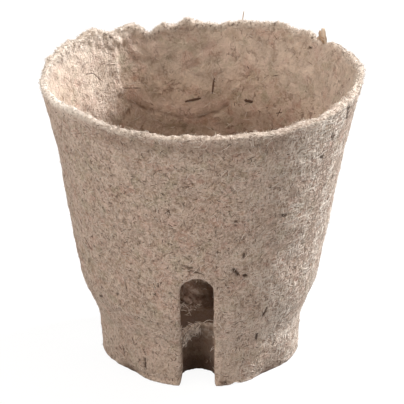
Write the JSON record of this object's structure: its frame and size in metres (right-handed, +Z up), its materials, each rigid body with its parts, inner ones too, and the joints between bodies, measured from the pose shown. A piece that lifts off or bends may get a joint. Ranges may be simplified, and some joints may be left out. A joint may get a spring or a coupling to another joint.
{
  "type": "peat pot",
  "caption": "Round tapered seedling pot moulded in one piece from peat and wood pulp, with a short foot, a flared torn rim and arched root slots round the foot.",
  "frame": {"origin": "middle of the underside, where the pot stands", "axes": "+Z up along the pot's own axis, the root slots lie on X and Y, and the front slot faces -Y"},
  "size_m": [0.0804, 0.0799, 0.0761],
  "materials": {
    "pulp": "matte"
  },
  "bodies": {
    "root": {"pot": "pulp"}
  },
  "joints": []
}
